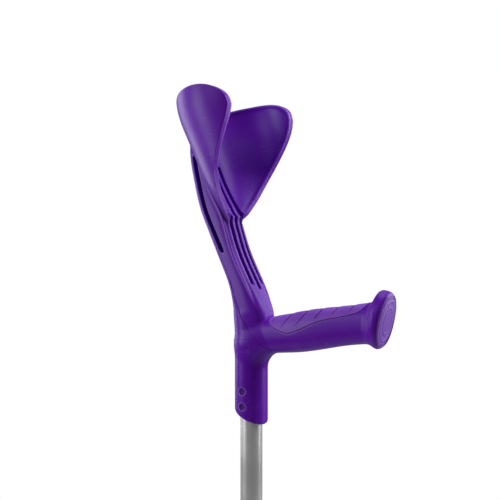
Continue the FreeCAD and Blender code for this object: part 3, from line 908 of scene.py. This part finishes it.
def plastic(name, shades, roughness, grain, specular, scratches=0.5):
    """Moulded plastic: a little mottled, fine grained, scratched in patches, with a painted highlight along
    its edges and painted shade in its crevices.

    shades are the dark and light colours, the colour of the scratches and of the painted edge highlight, and
    the painted crevice shade; grain is its size and depth in millimetres.
    """
    surface = Surface(name)
    surface.shader.inputs["Specular IOR Level"].default_value = specular
    dark, light, scuff_and_edge_highlight, painted_crevice_shade = shades
    cloud = surface.noise(scale=26.0, detail=5.0)
    patches = surface.between(surface.noise(scale=38.0, detail=2.0), 0.5, 0.66)
    scratch = 0.0
    for turn in SCRATCH_TURNS:
        lines = surface.noise(scale=30.0, detail=3.0, turn=turn, stretch=SCRATCH_STRETCH)
        scratch = surface.maths("MAXIMUM", surface.between(lines, 0.6, 0.72), scratch)
    scratch = surface.maths("MULTIPLY", surface.maths("MULTIPLY", scratch, patches), scratches)
    crevice, edge = surface.marks()
    patchy = surface.between(cloud, 0.3, 0.6, to_low=0.5, to_high=1.0)
    edge = surface.maths("MULTIPLY", surface.between(edge, *MARK_RANGE), patchy)
    crevice = surface.between(crevice, *MARK_RANGE)
    # Painted highlight: edges are lightened towards the pale colour. Scratches, which are wear, are lightened
    # the same way.
    scuff_and_highlight_share = surface.maths("MULTIPLY", surface.maths("MAXIMUM", edge, scratch), MARK_STRENGTH)
    colour = surface.mixed(surface.between(cloud, *CLOUD_RANGE), dark, light)
    colour = surface.mixed(scuff_and_highlight_share, colour, scuff_and_edge_highlight)
    # Painted shade: crevices are darkened towards the near-black colour.
    colour = surface.mixed(surface.maths("MULTIPLY", crevice, MARK_STRENGTH), colour, painted_crevice_shade)
    rough = surface.between(cloud, *CLOUD_RANGE, to_low=roughness - 0.03, to_high=roughness + 0.05)
    rougher = surface.maths("MULTIPLY", surface.maths("ADD", scratch, crevice), SCRATCH_ROUGHNESS)
    rough = surface.maths("ADD", rough, rougher)
    size, depth = grain
    pits = surface.maths("MULTIPLY", surface.noise(scale=1 / (size * MM), detail=2.0), depth)
    height = surface.maths("SUBTRACT", pits, surface.maths("MULTIPLY", scratch, SCRATCH_DEPTH))
    return surface.finish(colour, rough, height)


DRAWN_DEPTH = 0.02
CROSS_SCRATCH_DEPTH = 0.03
CROSS_SCRATCH_ROUGHNESS = 0.15


def metal(name, shades, roughness, stretch, metallic=1.0):
    """Drawn metal: fine lines along the way it was worked, dull patches and a few scratches across them."""
    surface = Surface(name)
    surface.shader.inputs["Metallic"].default_value = metallic
    dark, light = shades
    cloud = surface.noise(scale=20.0, detail=4.0)
    drawn = surface.noise(scale=60.0, detail=4.0, stretch=stretch)
    across = tuple(max(stretch) / part for part in stretch)
    scratch = surface.between(surface.noise(scale=25.0, detail=3.0, stretch=across), 0.66, 0.74)
    mean = surface.maths("MULTIPLY", surface.maths("ADD", cloud, drawn), 0.5)
    colour = surface.mixed(mean, dark, light)
    rough = surface.between(cloud, *CLOUD_RANGE, to_low=roughness - 0.05, to_high=roughness + 0.08)
    rough = surface.maths("ADD", rough, surface.maths("MULTIPLY", scratch, CROSS_SCRATCH_ROUGHNESS))
    lines = surface.maths("MULTIPLY", drawn, DRAWN_DEPTH)
    height = surface.maths("SUBTRACT", lines, surface.maths("MULTIPLY", scratch, CROSS_SCRATCH_DEPTH))
    return surface.finish(colour, rough, height)


def wear(obj, material):
    obj.data.materials.clear()
    obj.data.materials.append(material)


# ---------------------------------------------------------------- the pieces


# Each plastic's dark and light colours, its colour for scratches and the painted edge highlight, and its
# painted crevice shade; each metal's dark and light ones.
PURPLE_SHADES = ((0.09, 0.0028, 0.31), (0.108, 0.0036, 0.36), (0.27, 0.12, 0.56), (0.012, 0.001, 0.05))
SOFT_SHADES = ((0.085, 0.0035, 0.27), (0.105, 0.005, 0.33), (0.19, 0.06, 0.46), (0.012, 0.001, 0.05))
PIN_SHADES = ((0.05, 0.002, 0.18), (0.065, 0.003, 0.22), (0.1, 0.02, 0.28), (0.01, 0.001, 0.04))
CAP_SHADES = ((0.12, 0.012, 0.34), (0.15, 0.02, 0.4), (0.22, 0.09, 0.5), (0.012, 0.001, 0.05))
GREY_SHADES = ((0.08, 0.08, 0.082), (0.11, 0.11, 0.112), (0.2, 0.2, 0.2), (0.02, 0.02, 0.02))
RUBBER_SHADES = ((0.045, 0.045, 0.046), (0.075, 0.075, 0.074), (0.15, 0.145, 0.135), (0.02, 0.02, 0.02))
TUBE_SHADES = ((0.7, 0.7, 0.71), (0.88, 0.88, 0.88))
STEEL_SHADES = ((0.42, 0.42, 0.43), (0.6, 0.6, 0.6))
# Each grain's size and depth in millimetres.
FINE_GRAIN = (0.6, 0.015)
SOFT_GRAIN = (0.5, 0.03)
GREY_GRAIN = (0.8, 0.03)
RUBBER_GRAIN = (0.9, 0.06)
# How densely the drawn lines lie along x, y and z.
DRAWN_ALONG_Z = (14.0, 14.0, 0.5)
DRAWN_ALONG_X = (1.0, 14.0, 14.0)
purple = plastic("purple_plastic", PURPLE_SHADES, roughness=0.34, grain=FINE_GRAIN, specular=0.16)
soft_purple = plastic(
    "soft_purple", SOFT_SHADES, roughness=0.46, grain=SOFT_GRAIN, specular=0.22, scratches=0.2
)
pin_purple = plastic("pin_purple", PIN_SHADES, roughness=0.45, grain=FINE_GRAIN, specular=0.16)
cap_purple = plastic("cap_purple", CAP_SHADES, roughness=0.4, grain=FINE_GRAIN, specular=0.3)
grey_plastic = plastic("grey_plastic", GREY_SHADES, roughness=0.45, grain=GREY_GRAIN, specular=0.5)
rubber = plastic(
    "grey_rubber", RUBBER_SHADES, roughness=0.68, grain=RUBBER_GRAIN, specular=0.4, scratches=0.8
)
tube_grey = metal("anodised_tube", TUBE_SHADES, roughness=0.33, stretch=DRAWN_ALONG_Z, metallic=0.78)
steel = metal("steel", STEEL_SHADES, roughness=0.26, stretch=DRAWN_ALONG_X)

# The corners of the space that each sculpted piece is looked for in.
MOULDING_LOW = (-84.0, -66.0, -178.0)
MOULDING_HIGH = (154.0, 66.0, 162.0)
INLAY_LOW = (24.0, -18.0, -84.0)
INLAY_HIGH = (134.0, 18.0, -42.0)
CAP_LOW = (140.0, -16.0, -86.0)
CAP_HIGH = (154.0, 16.0, -36.0)
PIN_MARGIN = 0.8
PIN_FACE_MARGIN = 0.6
# Bands for refined(); a cosine under -1 leaves bends out.
COSINE_BENT = 0.93
COSINE_NONE = -2.0
FINE_BANDS = [(1.6, COSINE_BENT), (0.9, COSINE_BENT), (0.6, COSINE_NONE)]
moulding_step = 1.3
moulding_bands = FINE_BANDS
handle = sculpt(
    "handle_moulding", moulding, MOULDING_LOW, MOULDING_HIGH, moulding_step, moulding_detail, moulding_bands
)
wear(handle, purple)
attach(handle, "handle_assembly")
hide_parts("upper_moulding")

inlay = sculpt("grip_inlay", pad, INLAY_LOW, INLAY_HIGH, 0.8, pad_detail, [(0.9, COSINE_BENT)])
wear(inlay, soft_purple)
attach(inlay, "handle_assembly")
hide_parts("grip_pad")

cap = sculpt("grip_cap", end_cap, CAP_LOW, CAP_HIGH, 0.6, no_detail, [(0.0, 0.96)])
wear(cap, cap_purple)
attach(cap, "handle_assembly")
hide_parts("grip_end_cap")

for node, level in PIN_LEVELS.items():
    reach = PIN_HEAD_R + PIN_MARGIN
    low = (-reach, -SLEEVE_R - PIN_FACE_MARGIN, level - reach)
    high = (reach, PIN_TIP_Y + PIN_MARGIN, level + reach)
    piece = sculpt(node + "_head", pin(level), low, high, 0.35, no_detail, [])
    wear(piece, pin_purple)
    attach(piece, "handle_assembly")
    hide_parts(node)

nodes_look = {
    "upper_tube": tube_grey,
    "lower_tube": tube_grey,
    "tube_end_collar": grey_plastic,
    "guide_bush": grey_plastic,
    "snap_button": steel,
    "ferrule": rubber,
    "ferrule_washer": steel,
}
for node, look in nodes_look.items():
    wear(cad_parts[node], look)

# The leaf spring, which flattens against the leg's wall as the button is pressed, gets a mesh of its own and
# goes with the leg.
spring_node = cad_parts["snap_spring"]
spring = bpy.data.objects.new("button_spring", spring_node.data.copy())
bpy.context.scene.collection.objects.link(spring)
spring.matrix_world = spring_node.matrix_world
wear(spring, steel)
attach(spring, "leg")
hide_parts("snap_spring")
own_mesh(spring)


# ---------------------------------------------------------------- room, light, camera


FLOOR_HALF = 1.0
FLOOR_COLOUR = (0.68, 0.68, 0.68, 1)
FLOOR_ROUGHNESS = 0.8
WHITE = (1, 1, 1, 1)
WORLD_LIGHT = 0.12
CAMERA_AZIMUTH = math.radians(36.0)
CAMERA_DISTANCE = 0.7
CAMERA_ASIDE = 0.0014
CAMERA_LENS_MM = 50.4
CAMERA_SENSOR_MM = 36.0
LIGHT_DISTANCE = 1.3
AIM_AHEAD = 0.02
AIM_BELOW = 0.03
# Name, degrees to the right of the camera's side, degrees up, width and height in metres, watts.
LIGHTS = [
    ("left_back", -128, 6, (0.5, 1.0), 6.0),
    ("left", -80, 6, (0.4, 0.8), 9.0),
    ("left_near", -52, 30, (0.4, 0.4), 2.0),
    ("right", 84, 38, (0.5, 0.8), 11.0),
    ("right_low", 98, 5, (0.3, 1.0), 7.0),
    ("right_back", 125, 20, (0.5, 1.2), 6.0),
    ("top", 10, 84, (0.6, 0.6), 6.3),
    ("back", 180, 60, (0.8, 0.8), 3.0),
]
eye_level = HANDLE_Z * MM
aim = Vector((AIM_AHEAD, 0, eye_level - AIM_BELOW))


def at_angle(turn, rise, distance):
    """A place round the handle: turn is to the camera's right, rise is above it, both in degrees."""
    a = CAMERA_AZIMUTH + math.radians(turn)
    e = math.radians(rise)
    return aim + distance * Vector((math.sin(a) * math.cos(e), -math.cos(a) * math.cos(e), math.sin(e)))


def area_light(name, place, size, power):
    data = bpy.data.lights.new(name, "AREA")
    data.shape = "RECTANGLE"
    data.size, data.size_y = size
    data.energy = power
    light = bpy.data.objects.new(name, data)
    bpy.context.scene.collection.objects.link(light)
    light.location = place
    light.rotation_euler = (aim - place).to_track_quat("-Z", "Y").to_euler()


def floor():
    mesh = bpy.data.meshes.new("floor")
    r = FLOOR_HALF
    mesh.from_pydata([(-r, -r, 0), (r, -r, 0), (r, r, 0), (-r, r, 0)], [], [(0, 1, 2, 3)])
    obj = bpy.data.objects.new("floor", mesh)
    bpy.context.scene.collection.objects.link(obj)
    material, nodes, _ = new_material("pale_floor")
    nodes["Principled BSDF"].inputs["Base Color"].default_value = FLOOR_COLOUR
    nodes["Principled BSDF"].inputs["Roughness"].default_value = FLOOR_ROUGHNESS
    mesh.materials.append(material)


def room():
    """A white backdrop for the camera, which lights the object only a little."""
    world = bpy.data.worlds.new("studio")
    bpy.context.scene.world = world
    world.use_nodes = True
    nodes, links = world.node_tree.nodes, world.node_tree.links
    back = nodes["Background"]
    back.inputs["Color"].default_value = WHITE
    back.inputs["Strength"].default_value = 1.0
    dim = nodes.new("ShaderNodeBackground")
    dim.inputs["Color"].default_value = WHITE
    dim.inputs["Strength"].default_value = WORLD_LIGHT
    path = nodes.new("ShaderNodeLightPath")
    mix = nodes.new("ShaderNodeMixShader")
    links.new(path.outputs["Is Camera Ray"], mix.inputs["Fac"])
    links.new(dim.outputs["Background"], mix.inputs[1])
    links.new(back.outputs["Background"], mix.inputs[2])
    links.new(mix.outputs["Shader"], nodes["World Output"].inputs["Surface"])


floor()
room()
for name, turn, rise, size, power in LIGHTS:
    area_light(name, at_angle(turn, rise, LIGHT_DISTANCE), size, power)

side_way = Vector((math.cos(CAMERA_AZIMUTH), math.sin(CAMERA_AZIMUTH), 0))
toward = Vector((-math.sin(CAMERA_AZIMUTH), math.cos(CAMERA_AZIMUTH), 0))
camera_data = bpy.data.cameras.new("camera")
camera_data.lens = CAMERA_LENS_MM
camera_data.sensor_width = CAMERA_SENSOR_MM
camera = bpy.data.objects.new("camera", camera_data)
bpy.context.scene.collection.objects.link(camera)
camera.location = Vector((0, 0, eye_level)) - CAMERA_DISTANCE * toward - CAMERA_ASIDE * side_way
camera.rotation_euler = (math.radians(90), 0, CAMERA_AZIMUTH)
bpy.context.scene.camera = camera

scene = bpy.context.scene
scene.view_settings.view_transform = "Standard"
scene.view_settings.look = "None"
